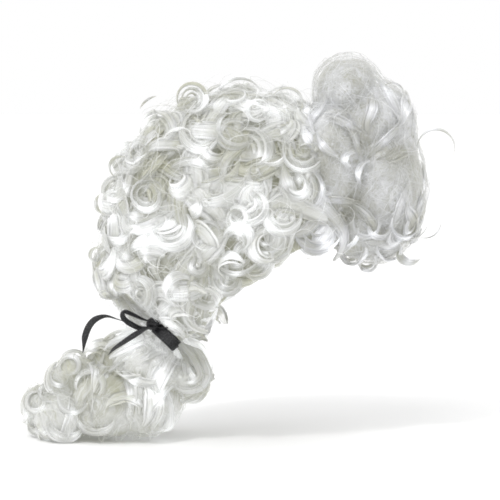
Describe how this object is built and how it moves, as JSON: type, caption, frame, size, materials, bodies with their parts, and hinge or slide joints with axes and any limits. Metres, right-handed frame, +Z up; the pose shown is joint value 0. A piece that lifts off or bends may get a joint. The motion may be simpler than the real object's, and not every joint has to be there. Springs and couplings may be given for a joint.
{
  "type": "curled white costume wig with a tied queue",
  "caption": "White curled wig on a stretch cap, with a high pouf over the forehead and a curled queue tied at the nape with a black ribbon.",
  "frame": {"origin": "top of the wearer's head, inside the cap", "axes": "+X towards the face, +Y the wearer's left, +Z up"},
  "size_m": [0.3917, 0.2244, 0.3451],
  "materials": {
    "white_hair": "glossy fibre",
    "cap_net": "matt net",
    "black_ribbon": "satin"
  },
  "bodies": {
    "root": {"wig_cap": "cap_net", "front_pouf": "white_hair", "crown_curls": "white_hair", "back_curls": "white_hair", "left_side_curls": "white_hair", "right_side_curls": "white_hair", "nape_gather": "white_hair", "queue_curls": "white_hair", "ribbon_band": "black_ribbon", "ribbon_knot": "black_ribbon", "ribbon_loop": "black_ribbon", "ribbon_small_loop": "black_ribbon", "ribbon_long_tail": "black_ribbon", "ribbon_short_tail": "black_ribbon"}
  },
  "joints": []
}
